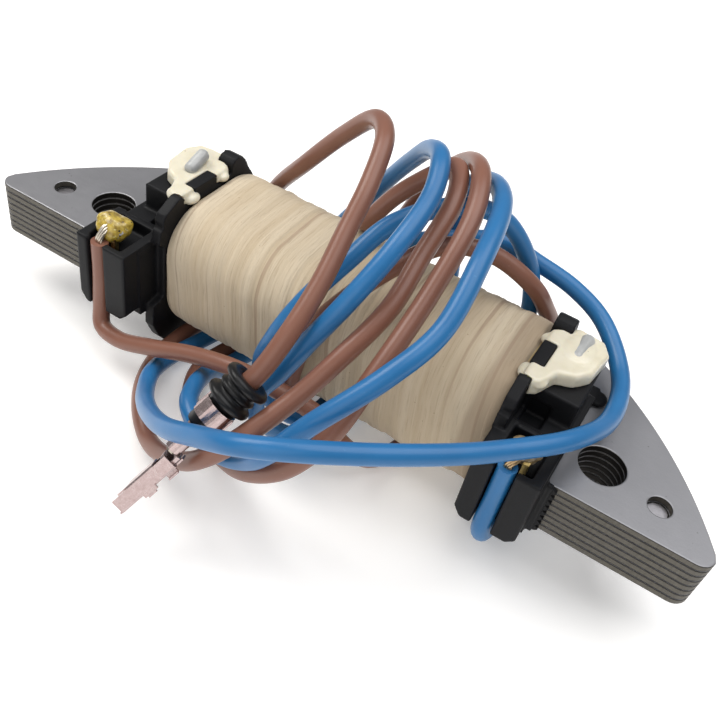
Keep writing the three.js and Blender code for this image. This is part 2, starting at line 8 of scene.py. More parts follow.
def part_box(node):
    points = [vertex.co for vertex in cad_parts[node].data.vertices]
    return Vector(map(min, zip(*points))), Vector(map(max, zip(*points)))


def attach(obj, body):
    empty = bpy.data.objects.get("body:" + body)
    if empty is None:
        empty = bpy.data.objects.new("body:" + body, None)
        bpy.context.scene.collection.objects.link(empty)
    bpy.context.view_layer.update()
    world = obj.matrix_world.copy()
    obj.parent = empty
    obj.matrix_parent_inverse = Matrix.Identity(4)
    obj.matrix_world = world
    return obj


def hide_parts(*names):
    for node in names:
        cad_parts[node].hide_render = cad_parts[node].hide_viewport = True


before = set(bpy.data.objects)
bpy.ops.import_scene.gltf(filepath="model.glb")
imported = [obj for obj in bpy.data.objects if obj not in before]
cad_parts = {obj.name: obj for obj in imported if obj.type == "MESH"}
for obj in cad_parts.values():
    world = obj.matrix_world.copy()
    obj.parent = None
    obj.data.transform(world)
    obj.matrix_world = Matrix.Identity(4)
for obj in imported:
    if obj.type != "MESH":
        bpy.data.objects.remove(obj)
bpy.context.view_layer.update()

# Looks of a small engine's charging coil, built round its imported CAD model.
# Sizes below are in mm: X along the core, Y from its straight front edge to the
# back, Z up from its top sheet. place() turns them into the frame's metres.
MM = 0.001
SHEETS = 8
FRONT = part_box("lamination_1")[0].y
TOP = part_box(f"lamination_{SHEETS}")[1].z
SHEET_THICK = (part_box("lamination_1")[1].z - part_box("lamination_1")[0].z) / MM
STACK = (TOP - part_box("lamination_1")[0].z) / MM
SHEET_PITCH = (STACK - SHEET_THICK) / (SHEETS - 1)
HALF_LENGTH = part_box("lamination_1")[1].x / MM
# Holes in each wing of a sheet: X and Y of the centre, then the diameter.
BOLT = (41.3, 7.4, 6.5)
RIVET_HOLE = (49.7, 5.7, 3.2)
# Centre line of the winding.
COIL_Y = 14.0
COIL_Z = -3.85


def place(x, y, z):
    """A place in mm as a place in the frame, in metres."""
    return Vector((x * MM, FRONT + y * MM, TOP + z * MM))


# ---------- camera ----------
CAMERA_AT = (38.04, -74.56, 79.6)
CAMERA_AZIMUTH = 21.98
CAMERA_ELEVATION = 43.51
CAMERA_ROLL = 12.98
CAMERA_LENS = 42.09
SENSOR_WIDE = 36.0


def make_camera():
    a, e, r = (math.radians(v) for v in (CAMERA_AZIMUTH, CAMERA_ELEVATION, CAMERA_ROLL))
    ahead = Vector((-math.sin(a) * math.cos(e), math.cos(a) * math.cos(e), -math.sin(e)))
    level = ahead.cross(Vector((0, 0, 1))).normalized()
    upright = level.cross(ahead)
    right = math.cos(r) * level + math.sin(r) * upright
    up = math.cos(r) * upright - math.sin(r) * level
    data = bpy.data.cameras.new("view_camera")
    data.lens = CAMERA_LENS
    data.sensor_width = SENSOR_WIDE
    data.clip_start = 0.005
    data.clip_end = 10.0
    camera = bpy.data.objects.new("view_camera", data)
    turn = Matrix((right, up, -ahead)).transposed().to_4x4()
    camera.matrix_world = Matrix.Translation(place(*CAMERA_AT)) @ turn
    bpy.context.scene.collection.objects.link(camera)
    bpy.context.scene.camera = camera


make_camera()


# ---------- materials ----------
class Shader:
    """A node material on Principled BSDF, with helpers that work in millimetres."""

    def __init__(self, name, roughness=0.5, metallic=0.0, specular=0.5, coat=0.0):
        self.material = bpy.data.materials.new(name)
        self.material.use_nodes = True
        self.tree = self.material.node_tree
        self.bsdf = self.tree.nodes["Principled BSDF"]
        self.set("Roughness", roughness)
        self.set("Metallic", metallic)
        self.set("Specular IOR Level", specular)
        self.set("Coat Weight", coat)
        self.coords = self.tree.nodes.new("ShaderNodeTexCoord")

    def set(self, name, value):
        """Give the surface's input of that name a value or another node's output."""
        self.feed(self.bsdf.inputs[name], value)

    def feed(self, socket, value):
        if isinstance(value, bpy.types.NodeSocket):
            self.tree.links.new(value, socket)
        else:
            socket.default_value = value

    def position(self, scale=(1, 1, 1)):
        """Place on the object in mm, times scale."""
        mapping = self.tree.nodes.new("ShaderNodeMapping")
        self.tree.links.new(self.coords.outputs["Object"], mapping.inputs["Vector"])
        mapping.inputs["Scale"].default_value = [v / MM for v in scale]
        return mapping.outputs["Vector"]

    def noise(self, size, detail=2.0, rough=0.5, stretch=(1, 1, 1), vector=None):
        """Noise from 0 to 1 whose lumps are about size mm across."""
        tex = self.tree.nodes.new("ShaderNodeTexNoise")
        tex.inputs["Scale"].default_value = 1.0 / size
        tex.inputs["Detail"].default_value = detail
        tex.inputs["Roughness"].default_value = rough
        self.tree.links.new(vector or self.position(stretch), tex.inputs["Vector"])
        return tex.outputs["Fac"]

    def wrapped(self, stretch):
        """Place in mm whose X is the wrap map's own, with Y and Z shortened to stretch."""
        place_split = self.tree.nodes.new("ShaderNodeSeparateXYZ")
        self.tree.links.new(self.position((1, stretch, stretch)), place_split.inputs[0])
        wrap = self.tree.nodes.new("ShaderNodeUVMap")
        wrap.uv_map = "wrap"
        wrap_split = self.tree.nodes.new("ShaderNodeSeparateXYZ")
        self.tree.links.new(wrap.outputs["UV"], wrap_split.inputs[0])
        joint = self.tree.nodes.new("ShaderNodeCombineXYZ")
        self.tree.links.new(wrap_split.outputs["X"], joint.inputs["X"])
        self.tree.links.new(place_split.outputs["Y"], joint.inputs["Y"])
        self.tree.links.new(place_split.outputs["Z"], joint.inputs["Z"])
        return joint.outputs["Vector"]

    def cells(self, size):
        """Distance from the middle of the nearest of many cells about size mm across."""
        tex = self.tree.nodes.new("ShaderNodeTexVoronoi")
        tex.inputs["Scale"].default_value = 1.0 / size
        self.tree.links.new(self.position(), tex.inputs["Vector"])
        return tex.outputs["Distance"]

    def math(self, kind, a, b=0.0):
        node = self.tree.nodes.new("ShaderNodeMath")
        node.operation = kind
        self.feed(node.inputs[0], a)
        self.feed(node.inputs[1], b)
        return node.outputs[0]

    def step(self, value, low, high):
        """0 at low, 1 at high, smooth between and level past them."""
        node = self.tree.nodes.new("ShaderNodeMapRange")
        node.interpolation_type = "SMOOTHSTEP"
        node.inputs["From Min"].default_value = low
        node.inputs["From Max"].default_value = high
        self.feed(node.inputs["Value"], value)
        return node.outputs["Result"]

    def mix(self, share, a, b):
        """Colour a at share 0, colour b at share 1."""
        node = self.tree.nodes.new("ShaderNodeMix")
        node.data_type = "RGBA"
        self.feed(node.inputs["Factor"], share)
        for socket, value in ((node.inputs["A"], a), (node.inputs["B"], b)):
            self.feed(socket, value if isinstance(value, bpy.types.NodeSocket) else (*value, 1.0))
        return node.outputs["Result"]

    def axis(self, name, source="Object"):
        """One coordinate in mm of the place on the object, or of the surface direction."""
        split = self.tree.nodes.new("ShaderNodeSeparateXYZ")
        if source == "Object":
            self.tree.links.new(self.position(), split.inputs[0])
        else:
            geometry = self.tree.nodes.new("ShaderNodeNewGeometry")
            self.tree.links.new(geometry.outputs["Normal"], split.inputs[0])
        return split.outputs[name]

    def bump(self, height, depth, strength=1.0):
        """height from 0 to 1 raises the surface by depth mm."""
        node = self.tree.nodes.new("ShaderNodeBump")
        node.inputs["Strength"].default_value = strength
        node.inputs["Distance"].default_value = depth * MM
        self.tree.links.new(height, node.inputs["Height"])
        self.set("Normal", node.outputs["Normal"])

    def color(self, value):
        """Set the surface's colour and hand back the finished material."""
        self.set("Base Color", value if isinstance(value, bpy.types.NodeSocket) else (*value, 1.0))
        return self.material


def bolt_distance(s):
    """Distance in mm from the nearer bolt hole's axis."""
    x = s.math("SUBTRACT", s.math("ABSOLUTE", s.axis("X")), BOLT[0])
    y = s.math("SUBTRACT", s.axis("Y"), BOLT[1] + FRONT / MM)
    return s.math("SQRT", s.math("ADD", s.math("MULTIPLY", x, x), s.math("MULTIPLY", y, y)))


def steel_material():
    """Flat rolled faces above and below, rough sheared edges all round."""
    s = Shader("core_sheet_steel")
    flat = s.step(s.math("ABSOLUTE", s.axis("Z", "Normal")), 0.6, 0.9)
    # rolled faces, with small dark pits
    rolled = s.noise(9.0, 3.0, stretch=(1, 1, 0.3))
    grain = s.noise(0.5, 3.0, stretch=(0.35, 1, 1))
    face = s.mix(rolled, (0.215, 0.215, 0.228), (0.29, 0.29, 0.305))
    face = s.mix(s.step(s.cells(1.9), 0.09, 0.0), face, (0.12, 0.115, 0.125))
    # sheared edges, with stains, and painted shade in the gaps between the sheets
    shear = s.noise(0.34, 4.0, 0.65, stretch=(1.0, 1.0, 0.15))
    stain = s.noise(5.0, 2.0)
    edge = s.mix(shear, (0.055, 0.05, 0.039), (0.172, 0.161, 0.133))
    edge = s.mix(s.math("MULTIPLY", stain, 0.35), edge, (0.16, 0.15, 0.15))
    height = s.math("ADD", s.axis("Z"), STACK - TOP / MM)
    layer = s.math("FRACT", s.math("DIVIDE", height, SHEET_PITCH))
    gap = s.math("ABSOLUTE", s.math("SUBTRACT", layer, 0.49))
    edge = s.mix(s.step(gap, 0.27, 0.42), edge, (0.012, 0.011, 0.01))
    # brighter walls of the bolt holes
    from_bolt = s.math("ADD", bolt_distance(s), s.math("MULTIPLY", shear, 0.05))
    in_hole = s.step(from_bolt, BOLT[2] / 2 + 0.25, BOLT[2] / 2 + 0.17)
    # the hole walls get the same painted shade in the gaps between the sheets
    wall = s.mix(s.step(gap, 0.36, 0.44), (0.03, 0.027, 0.024), (0.36, 0.35, 0.32))
    edge = s.mix(in_hole, edge, wall)
    rough = s.math("ADD", 0.46, s.math("MULTIPLY", grain, 0.16))
    s.set("Roughness", s.math("SUBTRACT", rough, s.math("MULTIPLY", flat, 0.12)))
    s.set("Metallic", s.math("SUBTRACT", 0.85, s.math("MULTIPLY", flat, 0.25)))
    mixed = s.math("ADD", s.math("MULTIPLY", grain, 0.35), s.math("MULTIPLY", shear, 0.65))
    s.bump(mixed, 0.035, 0.6)
    return s.color(s.mix(flat, edge, face))


def plain_metal(name, dark, light, roughness, size=0.6):
    """Bare metal with wear marks about size mm across."""
    s = Shader(name, metallic=1.0)
    wear = s.noise(size, 3.0)
    s.set("Roughness", s.math("ADD", roughness - 0.08, s.math("MULTIPLY", wear, 0.18)))
    s.bump(s.noise(size * 0.5, 2.0), 0.02, 0.5)
    return s.color(s.mix(wear, dark, light))


def nylon_material():
    s = Shader("moulded_black_nylon", specular=0.17)
    cloud = s.noise(4.0, 3.0)
    fine = s.noise(0.22, 3.0, 0.6)
    s.set("Roughness", s.math("ADD", 0.4, s.math("MULTIPLY", cloud, 0.2)))
    s.bump(fine, 0.03, 0.5)
    return s.color(s.mix(cloud, (0.0045, 0.0047, 0.0055), (0.0095, 0.0098, 0.0115)))


def tape_material():
    """Cotton tape: fine threads round the coil, with painted shade along its seams and a darker
    right end.
    """
    s = Shader("cotton_tape", 0.82, specular=0.25)
    s.set("Sheen Weight", 0.12)
    thread = s.noise(0.16, 3.0, 0.6, vector=s.wrapped(0.035))
    strand = s.noise(0.5, 3.0, 0.6, vector=s.wrapped(0.03))
    band = s.noise(2.6, 2.0, 0.5, vector=s.wrapped(0.02))
    cloud = s.noise(7.0, 2.0)
    base = s.mix(strand, (0.43, 0.335, 0.218), (0.60, 0.508, 0.372))
    base = s.mix(s.math("MULTIPLY", s.step(band, 0.35, 0.75), 0.5), base, (0.65, 0.57, 0.44))
    base = s.mix(s.math("MULTIPLY", s.step(thread, 0.53, 0.68), 0.4), base, (0.31, 0.23, 0.15))
    # dark brown lines round the coil at the tape's seams: painted shade under the lapped edges
    seam_shade = s.noise(1.1, 1.0, 0.4, vector=s.wrapped(0.012))
    base = s.mix(s.math("MULTIPLY", s.step(seam_shade, 0.66, 0.74), 0.45), base, (0.25, 0.155, 0.105))
    base = s.mix(s.math("MULTIPLY", s.step(cloud, 0.45, 0.8), 0.2), base, (0.46, 0.38, 0.25))
    # darker towards the tape's right end
    ends = s.step(s.axis("X"), 22.6, 23.6)
    base = s.mix(s.math("MULTIPLY", ends, 0.55), base, (0.29, 0.215, 0.15))
    speck = s.step(s.cells(2.6), 0.05, 0.02)
    base = s.mix(s.math("MULTIPLY", speck, 0.6), base, (0.2, 0.14, 0.08))
    weave = s.math("ADD", s.math("MULTIPLY", thread, 0.5), s.math("MULTIPLY", strand, 0.5))
    s.bump(weave, 0.14, 1.0)
    return s.color(base)


def lead_material(name, dark, light, roughness, scuff):
    """PVC insulation with a few scuffs."""
    s = Shader(name, specular=0.4)
    cloud = s.noise(6.0, 3.0)
    fine = s.noise(0.3, 2.0)
    s.set("Roughness", s.math("ADD", roughness - 0.02, s.math("MULTIPLY", fine, 0.05)))
    s.bump(s.noise(2.6, 1.0), 0.03, 0.4)
    base = s.mix(cloud, dark, light)
    marks = s.step(s.noise(0.7, 4.0, 0.7), 0.66, 0.74)
    return s.color(s.mix(s.math("MULTIPLY", marks, 0.25), base, scuff))


def rubber_material():
    s = Shader("seal_rubber", 0.36, specular=0.3)
    s.bump(s.noise(0.35, 3.0), 0.03, 0.5)
    return s.color(s.mix(s.noise(1.5), (0.003, 0.003, 0.0035), (0.008, 0.008, 0.009)))


def flux_material(name, dark, light, painted_glint):
    """Solder under hard flux, with black and silver specks, and lighter spots that are painted
    glints.
    """
    s = Shader(name, 0.28, specular=0.6, coat=0.4)
    cloud = s.noise(0.9, 4.0, 0.6)
    base = s.mix(s.step(cloud, 0.3, 0.7), dark, light)
    # lighter spots in the last colour given: painted glints on the flux
    base = s.mix(s.step(s.noise(0.5, 3.0), 0.6, 0.72), base, painted_glint)
    base = s.mix(s.step(s.cells(0.95), 0.2, 0.14), base, (0.012, 0.009, 0.004))
    silver = s.step(s.noise(1.15, 2.0), 0.69, 0.73)
    base = s.mix(silver, base, (0.75, 0.73, 0.72))
    s.set("Metallic", silver)
    s.bump(cloud, 0.12, 0.7)
    return s.color(base)


def adhesive_material():
    s = Shader("cream_adhesive", 0.3, specular=0.5, coat=0.15)
    s.set("Subsurface Weight", 0.2)
    s.set("Subsurface Radius", (0.0012, 0.0009, 0.0005))
    s.set("Subsurface Scale", 0.6)
    cloud = s.noise(2.4, 3.0)
    base = s.mix(cloud, (0.60, 0.545, 0.40), (0.78, 0.74, 0.61))
    base = s.mix(s.step(s.cells(2.1), 0.06, 0.03), base, (0.12, 0.08, 0.04))
    s.bump(s.noise(0.9, 2.0), 0.06, 0.5)
    return s.color(base)


def sleeve_material():
    s = Shader("grey_sleeving", 0.3, specular=0.5, coat=0.2)
    cloud = s.noise(1.1, 3.0, stretch=(1, 0.4, 1))
    s.bump(s.noise(0.5, 2.0), 0.04, 0.5)
    return s.color(s.mix(cloud, (0.23, 0.235, 0.235), (0.52, 0.53, 0.52)))


def paper_material():
    s = Shader("insulating_paper", 0.85, specular=0.2)
    fibre = s.noise(0.8, 3.0, 0.6, stretch=(1, 0.2, 0.2))
    s.bump(fibre, 0.05, 0.6)
    return s.color(s.mix(fibre, (0.36, 0.26, 0.12), (0.55, 0.42, 0.24)))


def copper_material():
    """Enamelled wire lying in turns along the coil."""
    wire_pitch = 0.3
    s = Shader("enamelled_copper", 0.25, metallic=0.9, coat=0.5)
    wave = s.math("SINE", s.math("MULTIPLY", s.axis("X"), 2 * math.pi / wire_pitch))
    s.bump(wave, 0.05, 0.8)
    return s.color(s.mix(s.noise(2.0), (0.36, 0.12, 0.045), (0.58, 0.24, 0.09)))


STEEL = steel_material()
RIVET = plain_metal("rivet_steel", (0.22, 0.215, 0.23), (0.42, 0.41, 0.43), 0.38)
TIN = plain_metal("tinned_metal", (0.38, 0.28, 0.275), (0.64, 0.53, 0.52), 0.24)
STRAND = plain_metal("tinned_strands", (0.42, 0.36, 0.28), (0.75, 0.70, 0.62), 0.3, 0.3)
GOLD_STRAND = plain_metal("fluxed_strands", (0.30, 0.19, 0.09), (0.66, 0.50, 0.30), 0.35, 0.3)
BRASS = plain_metal("pin_brass", (0.42, 0.30, 0.10), (0.62, 0.47, 0.20), 0.35)
NYLON = nylon_material()
TAPE = tape_material()
BROWN = lead_material("brown_insulation", (0.18, 0.076, 0.05), (0.24, 0.108, 0.073), 0.33,
                      (0.34, 0.20, 0.15))
BLUE = lead_material("blue_insulation", (0.013, 0.115, 0.29), (0.023, 0.165, 0.39), 0.32,
                     (0.09, 0.31, 0.57))
RUBBER = rubber_material()
# The last colour of each flux is its painted glint.
FLUX = flux_material("flux_over_solder", (0.20, 0.125, 0.012), (0.56, 0.41, 0.06),
                     (0.60, 0.53, 0.22))
PALE_FLUX = flux_material("pale_flux", (0.09, 0.055, 0.02), (0.36, 0.27, 0.15),
                          (0.50, 0.44, 0.33))
ADHESIVE = adhesive_material()
SLEEVE = sleeve_material()
PAPER = paper_material()
COPPER = copper_material()


# ---------- helpers that make pieces ----------
def piece_from_mesh(name, mesh, material, replaced=(), smooth=True, body="root"):
    """A piece that rides on body, stands for the replaced nodes and has one material."""
    mesh.materials.clear()
    mesh.materials.append(material)
    for polygon in mesh.polygons:
        polygon.use_smooth = smooth
    piece = bpy.data.objects.new(name, mesh)
    bpy.context.scene.collection.objects.link(piece)
    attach(piece, body)
    if replaced:
        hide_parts(*replaced)
    return piece


def mesh_from(name, points, faces):
    """A mesh from points in mm and faces."""
    mesh = bpy.data.meshes.new(name)
    mesh.from_pydata([place(*p) for p in points], [], faces)
    mesh.validate()
    return mesh


def tidy_normals(mesh):
    """Turn every face of a closed mesh outwards."""
    bm = bmesh.new()
    bm.from_mesh(mesh)
    bmesh.ops.recalc_face_normals(bm, faces=bm.faces)
    bm.to_mesh(mesh)
    bm.free()


def bevel_edges(piece, width, angle):
    """Round the edges that turn by more than angle degrees, width mm wide."""
    bevel = piece.modifiers.new("edges", "BEVEL")
    bevel.width = width * MM
    bevel.segments = 2
    bevel.limit_method = "ANGLE"
    bevel.angle_limit = math.radians(angle)
    bevel.harden_normals = True


def baked(obj, name):
    """The object's mesh with its modifiers applied, as a new mesh."""
    graph = bpy.context.evaluated_depsgraph_get()
    mesh = bpy.data.meshes.new_from_object(obj.evaluated_get(graph))
    mesh.name = name
    bpy.data.objects.remove(obj)
    return mesh


def rounded(mesh, name, voxel, rounds, keep):
    """mesh with soft moulded edges: remeshed at voxel mm, smoothed and thinned to keep."""
    obj = bpy.data.objects.new(name, mesh)
    bpy.context.scene.collection.objects.link(obj)
    remesh = obj.modifiers.new("remesh", "REMESH")
    remesh.mode = "VOXEL"
    remesh.voxel_size = voxel * MM
    smooth = obj.modifiers.new("smooth", "SMOOTH")
    smooth.factor = 0.5
    smooth.iterations = rounds
    thin = obj.modifiers.new("thin", "DECIMATE")
    thin.ratio = keep
    return baked(obj, name)


def joined(meshes, name):
    """One mesh of several, not welded together."""
    bm = bmesh.new()
    for mesh in meshes:
        bm.from_mesh(mesh)
    out = bpy.data.meshes.new(name)
    bm.to_mesh(out)
    bm.free()
    return out


def ball(name, centre, radii, rings):
    """An ellipsoid in mm."""
    bm = bmesh.new()
    bmesh.ops.create_uvsphere(bm, u_segments=rings * 2, v_segments=rings, radius=1.0)
    for v in bm.verts:
        v.co = place(*(c + r * k for c, r, k in zip(centre, radii, v.co)))
    mesh = bpy.data.meshes.new(name)
    bm.to_mesh(mesh)
    bm.free()
    return mesh


def spline_points(points, spacing):
    """Centripetal Catmull-Rom line through points, as mm points about spacing apart."""
    p = [Vector(q) for q in points]
    p = [2 * p[0] - p[1], *p, 2 * p[-1] - p[-2]]
    out = []
    for i in range(1, len(p) - 2):
        knots = [0.0]
        for a, b in zip(p[i - 1:i + 2], p[i:i + 3]):
            knots.append(knots[-1] + max((b - a).length ** 0.5, 1e-4))
        count = max(2, math.ceil((p[i + 1] - p[i]).length / spacing))
        for k in range(count):
            t = knots[1] + (knots[2] - knots[1]) * k / count
            out.append(barry_goldman(p[i - 1:i + 3], knots, t))
    out.append(p[-2])
    return out


def barry_goldman(p, knots, t):
    """Point at t on the Catmull-Rom piece of four points and their four knots."""
    def between(a, b, ta, tb):
        return ((tb - t) * a + (t - ta) * b) / (tb - ta)

    a = [between(p[i], p[i + 1], knots[i], knots[i + 1]) for i in range(3)]
    b = [between(a[i], a[i + 1], knots[i], knots[i + 2]) for i in range(2)]
    return between(b[0], b[1], knots[1], knots[2])


def line_length(points):
    return sum((b - a).length for a, b in zip(points, points[1:]))


def heading(line, i):
    """The way a line of points runs at its point i."""
    return (line[min(i + 1, len(line) - 1)] - line[max(i - 1, 0)]).normalized()


def cross_axes(line):
    """Two directions across a line at each of its points, that turn with it without twist."""
    axes = []
    side = heading(line, 0).orthogonal().normalized()
    for i in range(len(line)):
        ahead = heading(line, i)
        side = (side - side.dot(ahead) * ahead).normalized()
        axes.append((side, ahead.cross(side)))
    return axes


def tube(name, line, radius, sides):
    """A closed round tube in mm along line, radius being a function of the share done."""
    points, faces = [], []
    for i, (c, (side, up)) in enumerate(zip(line, cross_axes(line))):
        r = radius(i / (len(line) - 1))
        for k in range(sides):
            a = 2 * math.pi * k / sides
            points.append(c + r * (math.cos(a) * side + math.sin(a) * up))
    for i in range(len(line) - 1):
        for k in range(sides):
            a, b = i * sides + k, i * sides + (k + 1) % sides
            faces.append((a, b, b + sides, a + sides))
    faces.append(tuple(reversed(range(sides))))
    faces.append(tuple(range((len(line) - 1) * sides, len(line) * sides)))
    return mesh_from(name, points, faces)


def lathe(name, profile, start, ahead, segments=64):
    """A closed turned piece: profile of (radius, along) in mm, about a line from start."""
    side = ahead.orthogonal().normalized()
    up = ahead.cross(side)
    points, faces = [], []
    for r, s in profile:
        for k in range(segments):
            a = 2 * math.pi * k / segments
            points.append(start + s * ahead + r * (math.cos(a) * side + math.sin(a) * up))
    for i in range(len(profile)):
        ring, next_ring = i * segments, (i + 1) % len(profile) * segments
        for k in range(segments):
            j = (k + 1) % segments
            faces.append((ring + k, ring + j, next_ring + j, next_ring + k))
    mesh = mesh_from(name, points, faces)
    tidy_normals(mesh)
    return mesh


# ---------- leads ----------
LEAD_WIDE = 2.6
LEAD_SPACING = 0.5
# Way-points on a lead's fitted end: mm past its start, up to the bare conductor.
LEAD_END_STEPS = (0, 3, 6, 10.4)
# Where a lead's fitted end starts, the way it runs and the way its terminal faces.
END_STARTS = {
    "brown": ((1.1, -13.8, 7), (-0.38, -0.63, -0.68), (-0.85, -0.06, 0.53)),
    "blue": ((7, 40, -14.4), (1, 0, 0), (0, -0.3, 0.95)),
}
# Way-points of each lead's centre line, from its pocket to its terminal.
BROWN_ROUTE = [
    # up in the pocket slot, down and along under the left block
    (-34, -3.3, 2.6), (-34, -3.3, -3), (-34.1, -3.6, -9.4), (-33, -4.8, -12), (-29, -5.7, -11.9),
    (-23.3, -5.5, -10.1), (-16, -4.8, -7.5), (-8, -5, -5), (0, -5.4, -4), (6, -5, -5),
    # first pass under the coil and up behind its right end
    (10, -4, -9), (12.5, 0, -14), (14, 5, -16.2), (15.5, 12, -16.2), (17.5, 20, -16.2),
    (19, 26.5, -15.5), (22, 29.5, -8), (25.4, 29.2, -1.1), (23.9, 25.8, 5.1),
    # over the top, close to the tape
    (21.3, 23, 9.6), (15.4, 20.7, 12.9), (9.9, 16.1, 14.1), (6, 9.1, 12.4), (2.9, 3.9, 9),
    (-0.3, 1.1, 3.2), (-1.7, 0.5, -3.9), (-2.6, 1.5, -11),
    # second pass, then the tallest right-hand turn
    (-3.2, 5, -15.8), (-3.2, 12, -16.2), (-3.6, 20, -16.2), (-4, 26, -15.7), (-4.5, 29.2, -9),
    (-4.2, 30.2, -1), (-2, 31.5, 7), (1.7, 29.9, 15), (6.7, 25.4, 21.8), (11.2, 18, 25),
    (13.7, 11.1, 23), (14.1, 2.1, 17.2), (13.6, -8.2, 10.9), (12.5, -15, 5.1), (9.5, -18, -0.1),
    (4, -17.4, -6.3), (-2.3, -14, -12.2),
    # third pass, then the middle turn
    (-8.6, -10.6, -14.8), (-15.2, -5.6, -16), (-18.4, 0.5, -16.2), (-17.5, 8, -16.2),
    (-14.5, 18, -16.2), (-12.2, 26, -15.7), (-11, 29.2, -9), (-9.5, 28.7, -1), (-6.4, 25.2, 6.4),
    (-3.9, 19.5, 9.3), (-0.2, 19.5, 15.6), (3.4, 20.7, 19.8), (6.8, 20.5, 23.1), (10, 14, 22.5),
    (10.3, 6.2, 18.1), (10.5, -0.6, 14.3), (8.4, -8, 9.6), (6.2, -12.8, 5.6), (3.1, -18.4, 1.5),
    (-0.1, -20.7, -2.7), (-5.3, -20.1, -8.5),
    # outer bend at the left, fourth pass and the last turn down to the seal
    (-13.3, -16.7, -14), (-18.3, -12.9, -14.6), (-22.5, -7.7, -15.6), (-25, -1.7, -16.2),
    (-25.3, 4.8, -16.2), (-24, 15, -16.2), (-22.5, 25, -15.6), (-24.4, 29, -11),
    (-26.6, 28.7, -3.8), (-24.4, 27.1, 1.8), (-17.2, 23.1, 11.6), (-10.9, 22, 19.7),
    (-5.5, 19.5, 25.3), (-1.5, 14.6, 26.4), (0.7, 8, 23.6), (1.5, 2.1, 19.6), (2.3, -4.3, 15.3),
    (2.2, -9.9, 11.3),
]
BLUE_ROUTE = [
    # down the slot, back under the right collar, round behind the flange
    (31.4, -3.3, 2.7), (31.4, -3.3, -4), (31.4, -3.6, -9.6), (31.8, -2.2, -12.3), (32.6, 6, -13.2),
    (33, 18, -13), (32.5, 28, -13), (29, 34.5, -12.5), (22, 36, -12), (14, 35.5, -10),
    (7, 33, -6.5), (0.4, 28.9, -0.8), (2.3, 26.3, 5.2),
    # wide turn: along the back, over the right wing, across the front
    (8.2, 26.3, 8.9), (14, 28.8, 10), (20.2, 30.4, 8.2), (26.4, 30.2, 7), (32.1, 27.9, 5.7),
    (37.9, 20.8, 3.8), (39.4, 11.5, 4.3), (36.7, 1.7, 7.1), (30.7, -6.3, 8.1), (26.4, -11.4, 9),
    (20.3, -17.4, 10), (13.3, -23.4, 11), (7, -26, 9.7), (0.8, -25.1, 5.7), (-5.5, -22.9, 0.6),
    (-13.2, -17.3, -6.2), (-18.8, -11.2, -11.2), (-21.3, -6.9, -12.8), (-22.7, -0.1, -15.2),
    # first pass under the coil and the left-hand turn
    (-22.2, 5.5, -16.2), (-20, 15, -16.2), (-17, 25, -15.6), (-15.5, 29.5, -10.5),
    (-13.5, 29.8, -2.5), (-9.6, 30.3, 4.7), (-5.5, 28.5, 11.9), (-1.2, 25.2, 18.6),
    (2.5, 21.1, 23.6), (6.2, 15.6, 26.1), (8.3, 9.8, 24.4), (8.4, 1.9, 21.1), (6.5, -4.4, 15.4),
    (3.8, -7.4, 9.3), (1.4, -9.5, 3.8), (-0.6, -10.3, -0.1), (-1.1, -9.6, -5.3), (0.5, -6.5, -10.5),
    # second pass and the low turn from behind the right end
    (3.6, -1, -15), (4.6, 5, -16.2), (5.5, 12, -16.2), (8, 20, -16.2), (10.5, 26.5, -15.5),
    (15, 30, -9), (20.5, 30.6, -3), (21.7, 27.4, 2.3), (19.7, 26.8, 9.3), (15.1, 24.1, 16.3),
    (10.5, 18.4, 19.7), (3.9, 11.5, 17.4), (1.1, 4.7, 13.2), (-1.5, -0.8, 8.2), (-3.4, -3.4, 2.8),
    (-5.6, -2.2, -5.4), (-2.9, -2.2, -10.7),
    # third pass and the right-hand turn
    (0.2, 1, -14.8), (1, 6, -16.2), (1, 14, -16.2), (2, 20, -16.2), (4, 26.5, -15.4),
    (6.5, 28.8, -9), (8, 29, -1), (6.1, 30.9, 6.5), (5.9, 30.8, 11.8), (7.7, 27.7, 17.7),
    (12.1, 22.4, 22.1), (15.9, 14.8, 24.1), (18.3, 3.6, 22.9), (18.7, -4.9, 18.3),
    (16.2, -11.7, 14.8), (11.2, -18.1, 8.9), (7.8, -20.2, 3.5), (3.5, -18.6, -3),
    (-1.5, -17.3, -6.6), (-6.5, -14.8, -8), (-10.5, -12, -8), (-12.6, -8, -9),
    # last pass, ending on the ground behind the coil
    (-14.4, -2.8, -12), (-15.6, 2, -15.6), (-14.6, 8, -16.2), (-11, 18, -16.2), (-8.4, 26, -16),
    (-6.5, 31.5, -15.6), (-2.5, 36.5, -14.8), (2.5, 39.5, -14.4),
]


def end_line(colour, s):
    """Point s mm along a fitted end, from just behind its seal."""
    start, ahead, _ = END_STARTS[colour]
    return Vector(start) + s * Vector(ahead).normalized()


def make_lead(colour, route, material):
    """A lead from its pocket to the crimp, on one smooth line through its way-points."""
    route = [*route, *(end_line(colour, s) for s in LEAD_END_STEPS)]
    line = spline_points(route, LEAD_SPACING)
    curve = bpy.data.curves.new(f"{colour}_lead_cord", "CURVE")
    curve.dimensions = "3D"
    curve.bevel_depth = LEAD_WIDE / 2 * MM
    curve.bevel_resolution = 6
    curve.use_fill_caps = True
    strip = curve.splines.new("POLY")
    strip.points.add(len(line) - 1)
    for point, at in zip(strip.points, line):
        point.co = (*place(*at), 1)
    strip.use_smooth = True
    curve.materials.append(material)
    lead = bpy.data.objects.new(f"{colour}_lead_cord", curve)
    bpy.context.scene.collection.objects.link(lead)
    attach(lead, "root")
    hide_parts(f"{colour}_lead")
    return lead, line_length(line) * MM, place(*line[0])


